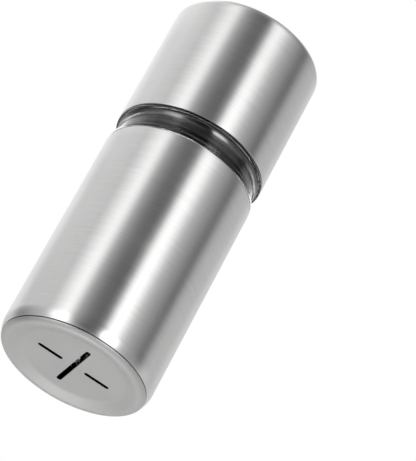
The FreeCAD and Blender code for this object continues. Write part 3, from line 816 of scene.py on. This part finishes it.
pivot_low, pivot_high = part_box("pivot_screw")
pivot_bottom = pivot_low.z / mm
pivot_top = pivot_high.z / mm
pivot_head = pivot_high.x / mm
pivot_shank = 1.25
pivot_outline = eased([(0, pivot_bottom, 0), (pivot_head, pivot_bottom, 0.5),
                       (pivot_head, washer_bottom, 0.15), (pivot_shank, washer_bottom, 0),
                       (pivot_shank, pivot_top, 0.25), (0, pivot_top, 0)])
pivot_screw = cross_slotted(turned("pivot_screw", pivot_outline, 64), pivot_head, pivot_bottom,
                            depth=0.8, downward=True)
fitted("pivot_screw_body", pivot_screw, bright_steel, "rotor", "fastener_steel", "pivot_screw")

# ---- The drive shaft ----------------------------------------------------------------------------
# A clear square bar of polycarbonate, drawn and a little frosted by the draw, with a turned tip.
frosted_plastic, tree, skin = surface("frosted_plastic", roughness=0.08, colour=(0.96, 0.97, 0.97),
                                      IOR=1.58, Transmission_Weight=0.92)
stretch = node(tree, "ShaderNodeMapping", {"Vector": object_place(tree), "Scale": (2600.0, 2600.0, 60.0)})
drawn = noise(tree, stretch.outputs[0], 1.0, 2.0)
tree.links.new(ranged(tree, drawn, 0.05, 0.16), skin.inputs["Roughness"])
bumped(tree, skin, drawn, 0.01 * mm, 0.5)
coated("drive_shaft", frosted_plastic)

# ---- The body sleeve ----------------------------------------------------------------------------
# Stainless tube drawn over the jar, curled in at the bottom and brushed round the axis.
# Its top edge is rounded over, so that it catches the light.
curl_drop = curl_height - seam_height
sleeve_seam = -math.degrees(math.asin(curl_drop / curl_radius))
inner_curl = curl_radius - steel_wall
inner_seam = -math.degrees(math.asin(curl_drop / inner_curl))
sleeve_inner = mill_radius - steel_wall
sleeve_edge = 0.42
sleeve_inner_edge = 0.12
sleeve_outline = bow(curl_centre, curl_radius, sleeve_seam, 0, 3)
sleeve_outline += eased([(mill_radius, sleeve_top - 4.0, 0), (mill_radius, sleeve_top, sleeve_edge),
                         (sleeve_inner, sleeve_top, sleeve_inner_edge),
                         (sleeve_inner, sleeve_top - 4.0, 0)])
sleeve_outline += bow(curl_centre, inner_curl, 0, inner_seam, 6)
brushed_steel = brushed("brushed_steel", dark=(0.695, 0.695, 0.69), pale=(0.765, 0.765, 0.76),
                        rough=(0.30, 0.35), depth=0.001 * mm, lengthwise=90.0, fineness=7000.0,
                        anisotropy=0.85)
fitted("sleeve_tube", turned("body_sleeve", sleeve_outline, 256), brushed_steel, "base", "brushed_steel",
       "body_sleeve")

# ---- The pressure plate and its pins ------------------------------------------------------------
# An acetal disc on the square shaft, which the spring presses on the nuts.
# Pointed steel pins in its underside keep them from slipping.
coated("pressure_plate", white_acetal)

pin_low, pin_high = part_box("grip_pins")
pin_bottom = pin_low.z / mm
pin_top = pin_high.z / mm
pin_radius = 0.6
pin_point = 0.8
# how many pins stand on each circle, and its radius
pin_rings = [(6, 10.5), (12, 16.5)]
pin_outline = eased([(0, pin_bottom, 0), (pin_radius * 0.3, pin_bottom, 0.05),
                     (pin_radius, pin_bottom + pin_point, 0.2), (pin_radius, pin_top, 0.05),
                     (0, pin_top, 0)])
pin_meshes = [ringed(moved(turned("grip_pin", pin_outline, 24), circle, 0), count, 180 / count,
                     bright_steel) for count, circle in pin_rings]
fitted("grip_pin_set", together("grip_pins", *pin_meshes), bright_steel, "plate", "fastener_steel",
       "grip_pins")

# ---- The pressure spring ------------------------------------------------------------------------
# A coil of round spring wire with one dead turn at each end, sprung onto the two collars.
spring_low, spring_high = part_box("pressure_spring")
wire_radius = 0.45
coil_radius = 7.0
coil_turns = 18.0
dead_rise = 2 * wire_radius + 0.05
coil_low = spring_low.z / mm + wire_radius
coil_high = spring_high.z / mm - wire_radius
coil = bpy.data.node_groups.new("spring_coil", "GeometryNodeTree")
coil_sizes = {"Turns": coil_turns, "Coil Radius": coil_radius * mm, "Wire Radius": wire_radius * mm,
              "Dead Rise": dead_rise * mm, "Bottom": coil_low * mm, "Top": coil_high * mm}
for socket, value in coil_sizes.items():
    made = coil.interface.new_socket(socket, in_out="INPUT", socket_type="NodeSocketFloat")
    made.default_value = value
coil.interface.new_socket("Finish", in_out="INPUT", socket_type="NodeSocketMaterial")
coil.interface.new_socket("Geometry", in_out="OUTPUT", socket_type="NodeSocketGeometry")
given = coil.nodes.new("NodeGroupInput").outputs
wire = node(coil, "GeometryNodeCurveSpiral", {"Resolution": 48, "Rotations": given["Turns"], "Height": 1.0,
                                              "Start Radius": given["Coil Radius"],
                                              "End Radius": given["Coil Radius"]})
factor = node(coil, "GeometryNodeSplineParameter").outputs["Factor"]
turns_done = maths(coil, "MULTIPLY", factor, given["Turns"])
last_turn = maths(coil, "SUBTRACT", given["Turns"], 1.0)
low_dead = maths(coil, "MINIMUM", turns_done, 1.0)
high_dead = maths(coil, "MAXIMUM", maths(coil, "SUBTRACT", turns_done, last_turn), 0.0)
dead_height = maths(coil, "MULTIPLY", maths(coil, "ADD", low_dead, high_dead), given["Dead Rise"])
span = maths(coil, "SUBTRACT", maths(coil, "SUBTRACT", given["Top"], given["Bottom"]),
             maths(coil, "MULTIPLY", given["Dead Rise"], 2.0))
active = maths(coil, "SUBTRACT", maths(coil, "SUBTRACT", turns_done, low_dead), high_dead)
pitch = maths(coil, "DIVIDE", span, maths(coil, "SUBTRACT", given["Turns"], 2.0))
climb = maths(coil, "ADD", dead_height, maths(coil, "MULTIPLY", active, pitch))
here = node(coil, "ShaderNodeSeparateXYZ", {0: node(coil, "GeometryNodeInputPosition").outputs[0]})
lifted = node(coil, "ShaderNodeCombineXYZ", {0: here.outputs[0], 1: here.outputs[1],
                                             2: maths(coil, "ADD", climb, given["Bottom"])})
route = node(coil, "GeometryNodeSetPosition", {"Geometry": wire.outputs[0], "Position": lifted.outputs[0]})
section = node(coil, "GeometryNodeCurvePrimitiveCircle", {"Resolution": 14, "Radius": given["Wire Radius"]})
swept = node(coil, "GeometryNodeCurveToMesh", {"Curve": route.outputs[0], "Fill Caps": True,
                                               "Profile Curve": section.outputs[0]})
real = node(coil, "GeometryNodeRealizeInstances", {0: swept.outputs[0]})
dressed = node(coil, "GeometryNodeSetMaterial", {"Geometry": real.outputs[0], "Material": given["Finish"]})
node(coil, "NodeGroupOutput", {0: dressed.outputs[0]})
spring_wire = toothed("spring_wire", dark=(0.52, 0.52, 0.51), pale=(0.62, 0.62, 0.61),
                      rough=(0.22, 0.34), depth=0.004 * mm, fineness=3000.0, metallic=1.0)
coil_blank = placed("coil_blank", bpy.data.meshes.new("coil_blank"))
coil_modifier = coil_blank.modifiers.new("coil", "NODES")
coil_modifier.node_group = coil
for socket in coil.interface.items_tree:
    if socket.name == "Finish":
        coil_modifier[socket.identifier] = spring_wire
spring = fitted("spring_coil", baked(coil_blank), spring_wire, "cap", "fastener_steel", "pressure_spring")
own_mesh(spring)

# ---- The drive socket and its screws ------------------------------------------------------------
# An acetal socket under the liner's ceiling, with the square hole that turns the shaft.
# Three pan head screws hold its flange.
coated("drive_socket", white_acetal)

pan_low, pan_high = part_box("socket_screws")
pan_face = pan_low.z / mm
pan_seat = pan_face + 1.4
pan_tip = pan_high.z / mm
pan_radius = 1.9
pan_shank = 1.0
pan_circle = 11.0
pan_outline = eased([(0, pan_face, 0), (pan_radius, pan_face, 0.55), (pan_radius, pan_seat, 0.1),
                     (pan_shank, pan_seat, 0), (pan_shank, pan_tip, 0.2), (0, pan_tip, 0)])
pan_screw = cross_slotted(turned("socket_screw", pan_outline, 48), pan_radius, pan_face,
                          depth=0.7, downward=True)
socket_screws = ringed(moved(pan_screw, pan_circle, 0), screw_count, first_screw, bright_steel)
fitted("socket_screw_set", socket_screws, bright_steel, "cap", "fastener_steel", "socket_screws")

# ---- The cap liner ------------------------------------------------------------------------------
# Moulded black cup glued into the steel cap. Its plug stands in the jar's neck, where it shows
# dark through the clear waist, and six ribs stiffen its wall.
liner_low, liner_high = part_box("cap_liner")
liner_top = liner_high.z / mm
plug_bottom = liner_low.z / mm
liner_outer = sleeve_inner - glue_gap
liner_inner = liner_outer - 1.8
plug_radius = jar_bore - 0.4
plug_bore = plug_radius - 1.6
seat_bottom = neck_rim + 0.1
seat_top = seat_bottom + 1.8
ceiling = liner_top - 2.1
groove_top = neck_rim - 3.0
groove_bottom = groove_top - 1.8
groove_radius = plug_radius - 0.9
rib_count = 6
rib_depth = 2.1
rib_root = 0.9
rib_half = 0.6
rib_draft = 0.7
liner_outline = eased([(plug_bore, plug_bottom, 0.5), (plug_radius, plug_bottom, 0.5),
                       (plug_radius, groove_bottom, 0.1), (groove_radius, groove_bottom, 0),
                       (groove_radius, groove_top, 0), (plug_radius, groove_top, 0.1),
                       (plug_radius, seat_bottom, 0.2), (liner_outer, seat_bottom, 0.2),
                       (liner_outer, liner_top, 2.2), (0, liner_top, 0), (0, ceiling, 0),
                       (liner_inner, ceiling, 0.6), (liner_inner, seat_top, 0.4),
                       (plug_bore, seat_top, 0.3)])
made = bmesh.new()
bmesh.ops.create_cube(made, size=1.0)
for vertex in made.verts:
    inward = vertex.co.x < 0
    vertex.co = Vector((liner_inner - rib_depth if inward else liner_inner + rib_root,
                        vertex.co.y * 2 * rib_half * (rib_draft if inward else 1.0),
                        seat_top if vertex.co.z < 0 else ceiling)) * mm
ribs = ringed(mesh_of("rib", made), rib_count, 0, black_plastic)
liner_mesh = together("cap_liner", turned("liner_cup", liner_outline), ribs)
fitted("liner_cup", liner_mesh, black_plastic, "cap", "black_plastic", "cap_liner")

# ---- The seal ring ------------------------------------------------------------------------------
# Soft silicone in the plug's groove, with a rounded lip that wipes the jar's bore.
seal_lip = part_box("cap_seal_ring")[1].x / mm
seal_bulge = seal_lip - plug_radius
seal_half = (groove_top - groove_bottom) / 2
seal_middle = (groove_bottom + groove_top) / 2
seal_angles = [math.radians(angle) for angle in range(-75, 76, 15)]
seal_outline = [(groove_radius, groove_bottom), (plug_radius - 0.1, groove_bottom)]
seal_outline += [(plug_radius + seal_bulge * math.cos(a), seal_middle + seal_half * math.sin(a))
                 for a in seal_angles]
seal_outline += [(plug_radius - 0.1, groove_top), (groove_radius, groove_top)]
seal_silicone = toothed("seal_silicone", dark=(0.05, 0.05, 0.05), pale=(0.08, 0.08, 0.08),
                        rough=(0.5, 0.65), depth=0.01 * mm)
fitted("seal_lip_ring", turned("cap_seal_ring", seal_outline, 128), seal_silicone, "cap",
       "seal_silicone", "cap_seal_ring")

# ---- The cap shell ------------------------------------------------------------------------------
# Stainless cup spun to the sleeve's diameter and brushed round the axis, also across its top.
# It is the grip that is turned, and its lower edge stands just above the jar's flange.
shell_low, shell_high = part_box("cap_shell")
shell_top = shell_high.z / mm
shell_edge = shell_low.z / mm
top_corner = 2.9
shell_edge_round = 0.18
shell_ceiling = shell_top - steel_wall
shell_outline = eased([(mill_radius, shell_edge, shell_edge_round), (mill_radius, shell_top, top_corner),
                       (0, shell_top, 0), (0, shell_ceiling, 0),
                       (sleeve_inner, shell_ceiling, top_corner - steel_wall),
                       (sleeve_inner, shell_edge, shell_edge_round)], 5)
fitted("cap_cup", turned("cap_shell", shell_outline, 256), brushed_steel, "cap", "brushed_steel",
       "cap_shell")
